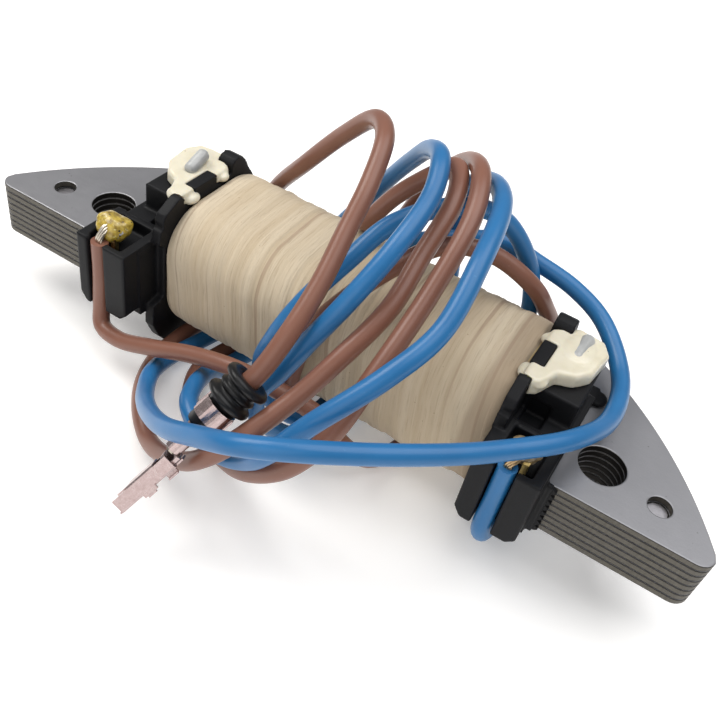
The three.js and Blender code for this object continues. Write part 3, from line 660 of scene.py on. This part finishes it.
# ---------- laminated core ----------
# The curved back edge is an arc, the ends are rounded and the neck carries the bobbin.
ARC_RADIUS = 66.4
ARC_CENTRE_Y = -29.9
ARC_FROM = HALF_LENGTH - 0.35
ARC_TO = 32.0
TIP_ROUND = 2.2
TIP_STEPS = 6
ARC_STEPS = 24
NECK_FRONT = 6.5
NECK_BACK = 21.5
WING_INNER = 30.0
WING_STEP = 1.2
SHEET_EDGE = 0.2


def arc_y(x):
    """Y of the core's curved edge at x."""
    return ARC_CENTRE_Y + math.sqrt(ARC_RADIUS ** 2 - x ** 2)


def core_outline():
    """A sheet's outline: the right half, from the front of its neck to the back, then the left."""
    right = [(WING_INNER - WING_STEP, NECK_FRONT), (WING_INNER - WING_STEP, 0.0)]
    for k in range(TIP_STEPS + 1):
        a = math.radians(-90 + 80 * k / TIP_STEPS)
        x = HALF_LENGTH - TIP_ROUND + TIP_ROUND * math.cos(a)
        right.append((x, TIP_ROUND + TIP_ROUND * math.sin(a)))
    for k in range(ARC_STEPS + 1):
        x = ARC_FROM - (ARC_FROM - ARC_TO) * (k / ARC_STEPS) ** 0.9
        right.append((x, arc_y(x)))
    right.append((WING_INNER, arc_y(ARC_TO) - WING_STEP))
    right.append((WING_INNER, NECK_BACK))
    return right + [(-x, y) for x, y in reversed(right)]


def ring_of(x, y, diameter, count=48):
    """Points round a hole."""
    turns = [2 * math.pi * k / count for k in range(count)]
    return [(x + diameter / 2 * math.cos(a), y + diameter / 2 * math.sin(a)) for a in turns]


def add_line(curve, points):
    """Add a closed flat outline in mm to a curve."""
    line = curve.splines.new("POLY")
    line.points.add(len(points) - 1)
    line.use_cyclic_u = True
    for point, (x, y) in zip(line.points, points):
        point.co = (x * MM, y * MM, 0, 1)


def make_sheets():
    """Each sheet is a flat outline with its holes, given its thickness and worn edges."""
    for i in range(SHEETS):
        curve = bpy.data.curves.new("sheet_outline", "CURVE")
        curve.dimensions = "2D"
        curve.fill_mode = "BOTH"
        edge = SHEET_EDGE * MM
        curve.extrude = SHEET_THICK / 2 * MM - edge
        curve.bevel_depth = edge
        curve.bevel_resolution = 1
        curve.offset = -edge
        add_line(curve, core_outline())
        for side in (-1, 1):
            for x, y, diameter in (BOLT, RIVET_HOLE):
                add_line(curve, ring_of(side * x, y, diameter))
        obj = bpy.data.objects.new("sheet_outline", curve)
        bpy.context.scene.collection.objects.link(obj)
        mesh = baked(obj, "core_sheet")
        middle = -STACK + SHEET_THICK / 2 + i * SHEET_PITCH
        mesh.transform(Matrix.Translation(place(0, 0, middle)))
        sheet = piece_from_mesh(f"core_sheet_{i + 1}", mesh, STEEL,
                                [f"lamination_{i + 1}"], smooth=False)
        weld = sheet.modifiers.new("weld", "WELD")
        weld.merge_threshold = 0.002 * MM


make_sheets()

# CAD nodes that are shown as they are.
PLAIN_NODES = {
    "core_rivet_left": RIVET, "core_rivet_right": RIVET,
    "winding": COPPER, "insulating_paper": PAPER,
    "terminal_pin_left": BRASS, "terminal_pin_right": BRASS,
    "brown_bare_end": STRAND, "blue_bare_end": STRAND,
}
for node, material in PLAIN_NODES.items():
    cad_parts[node].data.materials.clear()
    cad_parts[node].data.materials.append(material)


# ---------- moulded bobbin ----------
# Flash on the sheets' front edges, beside each collar.
COMB_X = (36.9, 37.4)
COMB_Y = (-0.62, -0.02)
COMB_ABOVE = 0.3
TOOTH_REACH = 0.55
TOOTH_STEPS = 6


def make_bobbin():
    mesh = rounded(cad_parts["bobbin"].data.copy(), "coil_bobbin", 0.2, 2, 0.35)
    piece_from_mesh("coil_bobbin", mesh, NYLON, ["bobbin"])


def make_comb(side, name):
    """Black flash with a round tooth over the end of each sheet's front edge."""
    points = []
    for i in range(SHEETS):
        z0 = -STACK + i * SHEET_PITCH
        for k in range(TOOTH_STEPS + 1):
            reach = COMB_X[1] + TOOTH_REACH * math.sin(math.pi * k / TOOTH_STEPS)
            points.append((reach, z0 + SHEET_PITCH * k / (TOOTH_STEPS + 0.5)))
    outline = [(COMB_X[0], -STACK), *points, (COMB_X[0], COMB_ABOVE)]
    count = len(outline)
    verts = [(side * x, y, z) for y in COMB_Y for x, z in outline]
    faces = [tuple(range(count)), tuple(reversed(range(count, 2 * count)))]
    for k in range(count):
        j = (k + 1) % count
        faces.append((k, j, count + j, count + k))
    mesh = mesh_from(name, verts, faces)
    tidy_normals(mesh)
    comb = piece_from_mesh(name, mesh, NYLON, smooth=False)
    bevel_edges(comb, 0.1, 35)


make_bobbin()
make_comb(1, "sheet_comb_right")
make_comb(-1, "sheet_comb_left")


# ---------- taped winding ----------
TAPE_HALF_Y = 11.8
TAPE_HALF_Z = 10.95
TAPE_ROUND = 7.5
TAPE_WIDE = 5.6
TAPE_LEAN = 1.3
# How high a lap rises, and the share of the tape's width over which it does.
LAP_HIGH = 0.16
LAP_SHARE = 0.93
# Width and height of the tape's threads, of its coarser ropes and of its worn ends.
THREAD_WIDE, THREAD_HIGH = 0.42, 0.09
ROPE_WIDE, ROPE_HIGH = 1.5, 0.16
UNEVEN_WIDE, UNEVEN_HIGH = 9.0, 0.25
END_WIDE, END_DROP = 1.2, 0.5
TAPE_SINK = 0.25
TAPE_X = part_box("tape_wrap")[1].x / MM
TAPE_ROWS = 180
TAPE_COLUMNS = 420


def tape_ring(share, out):
    """Point on the coil's rounded outline, share of the way round, out mm proud of it."""
    flat_y = TAPE_HALF_Y - TAPE_ROUND
    flat_z = TAPE_HALF_Z - TAPE_ROUND
    quarter = math.pi / 2 * TAPE_ROUND
    stretches = [2 * flat_z, quarter, 2 * flat_y, quarter] * 2
    s = (share % 1.0) * sum(stretches)
    for k, length in enumerate(stretches):
        if s <= length:
            break
        s -= length
    if k % 2:
        sy, sz = [(1, 1), (-1, 1), (-1, -1), (1, -1)][k // 2]
        a = math.radians(90 * (k // 2)) + s / TAPE_ROUND
        r = TAPE_ROUND + out
        return COIL_Y + sy * flat_y + r * math.cos(a), COIL_Z + sz * flat_z + r * math.sin(a)
    first = [(TAPE_HALF_Y, -flat_z), (flat_y, TAPE_HALF_Z),
             (-TAPE_HALF_Y, flat_z), (-flat_y, -TAPE_HALF_Z)][k // 2]
    ahead = [(0, 1), (-1, 0), (0, -1), (1, 0)][k // 2]
    normal = [(1, 0), (0, 1), (-1, 0), (0, -1)][k // 2]
    return (COIL_Y + first[0] + s * ahead[0] + out * normal[0],
            COIL_Z + first[1] + s * ahead[1] + out * normal[1])


def wound_x(x, share):
    """x with the turns' lean taken off, so that it is the same all along one thread."""
    return x + TAPE_LEAN * math.sin(2 * math.pi * share)


def tape_height(x, share):
    """How proud the tape stands: lapped turns, threads and soft unevenness."""
    c, s = math.cos(2 * math.pi * share), math.sin(2 * math.pi * share)
    wound = wound_x(x, share)
    lap = (wound / TAPE_WIDE) % 1.0
    height = LAP_HIGH * (lap if lap < LAP_SHARE else (1 - lap) / (1 - LAP_SHARE) * LAP_SHARE)
    thread = noise.noise(Vector((wound / THREAD_WIDE, 0.6 * c, 0.6 * s)))
    rope = noise.noise(Vector((wound / ROPE_WIDE, 0.5 * c, 7 + 0.5 * s)))
    uneven = noise.noise(Vector((c, s, x / UNEVEN_WIDE)) * 1.1)
    height += THREAD_HIGH * thread + ROPE_HIGH * rope + UNEVEN_HIGH * uneven
    end = (TAPE_X - abs(x)) / END_WIDE
    return height - TAPE_SINK - END_DROP * max(0.0, 1 - end) ** 2


def make_tape():
    """A closed sleeve of rows round the coil and columns along it, with a map of its threads."""
    rows, columns = TAPE_ROWS, TAPE_COLUMNS
    xs = [-TAPE_X + 2 * TAPE_X * i / columns for i in range(columns + 1)]
    points, faces, where = [], [], []
    for x in xs:
        for k in range(rows):
            share = k / rows
            points.append((x, *tape_ring(share, tape_height(x, share))))
    inner = len(points)
    for x in (xs[0], xs[-1]):
        points += [(x, *tape_ring(k / rows, -1.0)) for k in range(rows)]
    for i in range(columns):
        x0, x1 = xs[i], xs[i + 1]
        a, b = i * rows, (i + 1) * rows
        for k in range(rows):
            j = (k + 1) % rows
            s0, s1 = k / rows, (k + 1) / rows
            faces.append((a + k, b + k, b + j, a + j))
            where.append([(wound_x(x, s), s) for x, s in ((x0, s0), (x1, s0), (x1, s1), (x0, s1))])
    last = columns * rows
    for k in range(rows):
        j = (k + 1) % rows
        faces.append((k, j, inner + j, inner + k))
        faces.append((last + j, last + k, inner + rows + k, inner + rows + j))
        faces.append((inner + k, inner + j, inner + rows + j, inner + rows + k))
        where += [[(0, 0)] * 4] * 3
    mesh = bpy.data.meshes.new("wound_tape")
    mesh.from_pydata([place(*p) for p in points], [], faces)
    layer = mesh.uv_layers.new(name="wrap")
    layer.data.foreach_set("uv", [v for face in where for corner in face for v in corner])
    piece_from_mesh("wound_tape", mesh, TAPE, ["tape_wrap"])


make_tape()


# ---------- soldered joints in the pockets ----------
STRANDS = 9
STRAND_RADIUS = 0.2
STRAND_TWIST = 0.55
BUNDLE_RADIUS = 0.55


def twisted_strands(name, route):
    """Bare wires twisted round a route, as one mesh."""
    line = spline_points(route, 0.12)
    axes = cross_axes(line)
    meshes = []
    for n in range(STRANDS):
        wire = []
        for i, (c, (side, up)) in enumerate(zip(line, axes)):
            a = 2 * math.pi * n / STRANDS + STRAND_TWIST * (c - line[0]).length
            r = BUNDLE_RADIUS * (0.75 + 0.35 * noise.noise(Vector((n * 3.1, i / 12, 0))))
            wire.append(c + r * (math.cos(a) * side + math.sin(a) * up))
        meshes.append(tube("wire", wire, lambda share: STRAND_RADIUS, 8))
    return joined(meshes, name)


def lumpy_ball(name, centre, radii, lump, size):
    """An ellipsoid pushed in and out by up to lump mm, in lumps about size mm across."""
    mesh = ball(name, centre, radii, 40)
    middle = place(*centre)
    for v in mesh.vertices:
        out = (v.co - middle).normalized()
        v.co += out * MM * lump * noise.noise((v.co - middle) / MM / size)
    return mesh


# Side, lead colour, X and top of the lead, centre and radii of the blob, looks of the two.
JOINTS = (
    ("left", "brown", -34.0, 2.6, (-33.9, -0.5, 3.5), (2.5, 2.25, 1.9), STRAND, FLUX),
    ("right", "blue", 31.4, 2.7, (32.3, -0.3, 3.2), (1.8, 1.6, 1.35), GOLD_STRAND, PALE_FLUX),
)


def make_joint(side, colour, lead_x, top_z, centre, radii, wire_material, flux):
    """A lead's bare strands, bent back into a blob of solder and flux."""
    x, y, z = centre
    route = [(lead_x, -3.3, top_z - 0.4), (lead_x, -3.25, top_z + 0.5),
             ((lead_x + x) / 2, -2.6, top_z + 1.3), (x - 0.1, -1.5, top_z + 1.7),
             (x + 0.2, 0.0, top_z + 1.5)]
    wires = twisted_strands(f"{colour}_strand_wires", route)
    piece_from_mesh(f"{colour}_strand_wires", wires, wire_material,
                    [f"{colour}_stripped_strands"])
    shoulder = [r * 0.72 for r in radii]
    lumps = [lumpy_ball("lump", centre, radii, 0.35, 1.6),
             lumpy_ball("lump", (x - 0.8, y + 0.1, z + 0.75), shoulder, 0.3, 1.2),
             lumpy_ball("lump", (x + 0.9, y + 0.6, z + 0.3), shoulder, 0.3, 1.2)]
    mesh = rounded(joined(lumps, "flux"), f"flux_blob_{side}", 0.1, 5, 0.5)
    piece_from_mesh(f"flux_blob_{side}", mesh, flux, [f"solder_joint_{side}"])


# ---------- seals and crimp terminals ----------
# Half of a seal's section: its radius and the place along the lead.
SEAL_PROFILE = [
    (1.36, 1.35), (1.7, 1.22), (2.4, 1.15), (2.9, 1.25), (3.13, 1.5), (3.2, 1.8), (3.1, 2.1),
    (2.75, 2.3), (2.4, 2.45), (2.3, 2.75), (2.35, 3.0), (2.6, 3.12), (2.68, 3.35), (2.55, 3.58),
    (2.3, 3.75), (2.35, 4.0), (2.75, 4.2), (3.1, 4.45), (3.2, 4.8), (3.1, 5.12), (2.75, 5.3),
    (2.3, 5.45), (1.98, 5.7), (1.95, 6.2), (1.95, 9.5), (1.85, 9.8), (1.6, 9.9), (1.36, 9.8),
]


STRIP_THICK = 0.26


def end_frame(colour):
    """Start of a fitted end, and its directions ahead, to its side and up."""
    start, ahead, up = END_STARTS[colour]
    ahead = Vector(ahead).normalized()
    side = Vector(up).cross(ahead).normalized()
    return Vector(start), ahead, side, ahead.cross(side)


def bent_strip(outline, s0, s1):
    """A strip of sheet between s0 and s1 along the terminal, bent to an outline of (side, up)."""
    line = [Vector((a, b, 0)) for a, b in outline]
    inner, outer = [], []
    for i, p in enumerate(line):
        ahead = heading(line, i)
        normal = Vector((-ahead.y, ahead.x, 0))
        inner.append(p - normal * STRIP_THICK / 2)
        outer.append(p + normal * STRIP_THICK / 2)
    ring = inner + outer[::-1]
    count = len(ring)
    points = [(s, v.x, v.y) for s in (s0, s1) for v in ring]
    faces = [tuple(range(count)), tuple(reversed(range(count, 2 * count)))]
    faces += [(k, (k + 1) % count, count + (k + 1) % count, count + k) for k in range(count)]
    return points, faces


def arc_outline(radius, start, end, count):
    """An arc from start to end degrees, in count steps."""
    turns = [math.radians(start + (end - start) * k / count) for k in range(count + 1)]
    return [(radius * math.cos(a), radius * math.sin(a)) for a in turns]


def terminal_parts():
    """The pressed terminal's strips: (outline, from, to), each outline in (side, up)."""
    barrel = arc_outline(2.21, 110, 430, 36)
    strap = [(-0.9, -2.22), (0.9, -2.22)]
    step = [(-0.85, -2.0), (0.85, -2.0)]
    crimp_ring = arc_outline(1.06, 150, 390, 20)
    crimp = [(-0.1, 0.68), (-0.5, 0.95), *crimp_ring, (0.5, 0.95), (0.1, 0.68)]
    web = [(-0.75, -1.72), (0.75, -1.72)]
    trough = [(-1.05, -0.9), (-0.8, -1.35), (0.8, -1.35), (1.05, -0.9)]
    channel = [(-1.2, 0.1), (-1.2, -1.62), (-1.06, -1.76), (1.06, -1.76), (1.2, -1.62), (1.2, 0.1)]
    roof = [(-1.2, -0.2), (-1.2, 0.08), (-1.06, 0.2), (1.06, 0.2), (1.2, 0.08), (1.2, -0.2)]
    tongue = [(-1.0, -1.72), (1.0, -1.72)]
    lug = [(1.2, -1.5), (1.2, -2.3)]
    lug_foot = [(1.2, -2.2), (1.2, -2.56)]
    back_tab = [(-1.15, -1.6), (-1.2, -2.65), (-0.7, -2.75)]
    return [
        (barrel, 6.0, 8.4), (strap, 6.2, 10.5), (step, 10.3, 10.9), (web, 10.6, 11.6),
        (trough, 10.6, 11.4), (crimp, 11.4, 14.2),
        (trough, 14.2, 15.2), (web, 14.0, 15.6), (channel, 15.2, 24.2), (tongue, 24.0, 24.6),
        (roof, 15.2, 15.8), (roof, 17.2, 21.6),
        (lug, 18.6, 20.7), (lug_foot, 19.0, 20.3), (back_tab, 16.2, 17.8),
    ]


def make_end(colour):
    """The seal and the terminal on a lead's end, and the bare end inside them."""
    start, ahead, side, up = end_frame(colour)
    seal_mesh = lathe(f"{colour}_wire_seal", SEAL_PROFILE, start, ahead)
    seal = piece_from_mesh(f"{colour}_wire_seal", seal_mesh, RUBBER,
                           [f"{colour}_seal"])
    meshes = []
    for outline, s0, s1 in terminal_parts():
        points, faces = bent_strip(outline, s0, s1)
        points = [start + s * ahead + a * side + b * up for s, a, b in points]
        mesh = mesh_from("strip", points, faces)
        tidy_normals(mesh)
        meshes.append(mesh)
    terminal_mesh = joined(meshes, f"{colour}_crimp_terminal")
    terminal = piece_from_mesh(f"{colour}_crimp_terminal", terminal_mesh, TIN,
                               [f"{colour}_terminal"], smooth=False)
    bevel_edges(terminal, 0.07, 30)
    return [seal, terminal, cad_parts[f"{colour}_bare_end"]]


for joint in JOINTS:
    make_joint(*joint)
brown_cord, brown_length, brown_exit = make_lead("brown", BROWN_ROUTE, BROWN)
blue_cord, blue_length, blue_exit = make_lead("blue", BLUE_ROUTE, BLUE)
make_end("brown")
make_end("blue")


# ---------- adhesive and grey sleeves ----------
# Lumps on the right flange's adhesive, as centre and radii. The left one mirrors them.
ADHESIVE_LUMPS = [
    ((29.2, 7.6, 7.7), (1.5, 1.4, 0.8)), ((27.4, 8.8, 7.3), (1.2, 1.5, 0.8)),
    ((31.8, 15.8, 8.3), (2.6, 3.4, 0.8)), ((27.7, 16.2, 7.6), (1.3, 1.2, 0.8)),
]
SLEEVE_RADIUS = 1.0


def make_adhesive(side, word):
    """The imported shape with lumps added, softened into one blob with an uneven top."""
    lumps = [ball("lump", (side * x, y, z), radii, 14) for (x, y, z), radii in ADHESIVE_LUMPS]
    lumps.append(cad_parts[f"adhesive_{word}"].data.copy())
    mesh = rounded(joined(lumps, "glue"), f"adhesive_blob_{word}", 0.15, 9, 0.6)
    for v in mesh.vertices:
        v.co.z += 0.12 * MM * noise.noise(v.co / MM / 1.7)
    piece_from_mesh(f"adhesive_blob_{word}", mesh, ADHESIVE, [f"adhesive_{word}"])


def make_sleeve(word, low, high):
    """Grey sleeving half sunk in the adhesive, with rounded ends."""
    a, b = Vector(low), Vector(high)
    line = [a.lerp(b, k / 30) for k in range(31)]

    def radius(share):
        ends = min(share, 1 - share) / 0.18
        return SLEEVE_RADIUS * math.sqrt(max(0.02, 1 - (1 - min(1.0, ends)) ** 2))

    mesh = tube(f"grey_sleeve_{word}", line, radius, 32)
    piece_from_mesh(f"grey_sleeve_{word}", mesh, SLEEVE, [f"wire_post_{word}"])


for side_sign, side_word in ((-1, "left"), (1, "right")):
    make_adhesive(side_sign, side_word)
make_sleeve("left", (-30.8, 12.0, 8.6), (-30.8, 16.4, 10.3))
make_sleeve("right", (31.9, 13.6, 8.1), (32.1, 19.4, 8.5))


# ---------- floor and light ----------
FLOOR_HALF = 1.5
FLOOR_DROP = 0.0001
FLOOR_GLOW = 0.22
WORLD_STRENGTH = 0.3


def make_floor():
    """A white table that glows a little, as an overexposed one would."""
    mesh = bpy.data.meshes.new("white_table")
    corners = [(x * FLOOR_HALF, y * FLOOR_HALF, 0) for x, y in ((-1, -1), (1, -1), (1, 1), (-1, 1))]
    mesh.from_pydata(corners, [], [(0, 1, 2, 3)])
    table = bpy.data.objects.new("white_table", mesh)
    table.location.z = -FLOOR_DROP
    bpy.context.scene.collection.objects.link(table)
    s = Shader("table_white", 0.75, specular=0.2)
    s.bump(s.noise(30.0), 0.02, 0.2)
    s.set("Emission Color", (1.0, 0.99, 0.975, 1.0))
    s.set("Emission Strength", FLOOR_GLOW)
    mesh.materials.append(s.color(s.mix(s.noise(60.0), (0.90, 0.895, 0.885), (0.93, 0.925, 0.915))))


def add_light(name, power, size, at, towards, colour):
    """A square area light of power watts, with places and size in metres."""
    data = bpy.data.lights.new(name, "AREA")
    data.energy = power
    data.size = size
    data.color = colour
    light = bpy.data.objects.new(name, data)
    light.location = at
    light.rotation_euler = (Vector(towards) - Vector(at)).to_track_quat("-Z", "Y").to_euler()
    bpy.context.scene.collection.objects.link(light)


make_floor()
add_light("window_left", 1.75, 0.3, (-0.33, -0.02, 0.46), (0, 0, 0.01), (1.0, 0.98, 0.95))
add_light("soft_above", 3.1, 0.6, (0.16, 0.12, 0.6), (0, 0, 0), (0.99, 0.99, 1.0))
add_light("front_fill", 0.9, 0.5, (0.0, -0.5, 0.25), (0, 0, 0.01), (1.0, 0.97, 0.94))
world = bpy.data.worlds.new("pale_room")
world.use_nodes = True
background = world.node_tree.nodes["Background"]
background.inputs["Color"].default_value = (1.0, 1.0, 1.0, 1.0)
background.inputs["Strength"].default_value = WORLD_STRENGTH
bpy.context.scene.world = world
bpy.context.scene.view_settings.view_transform = "Standard"
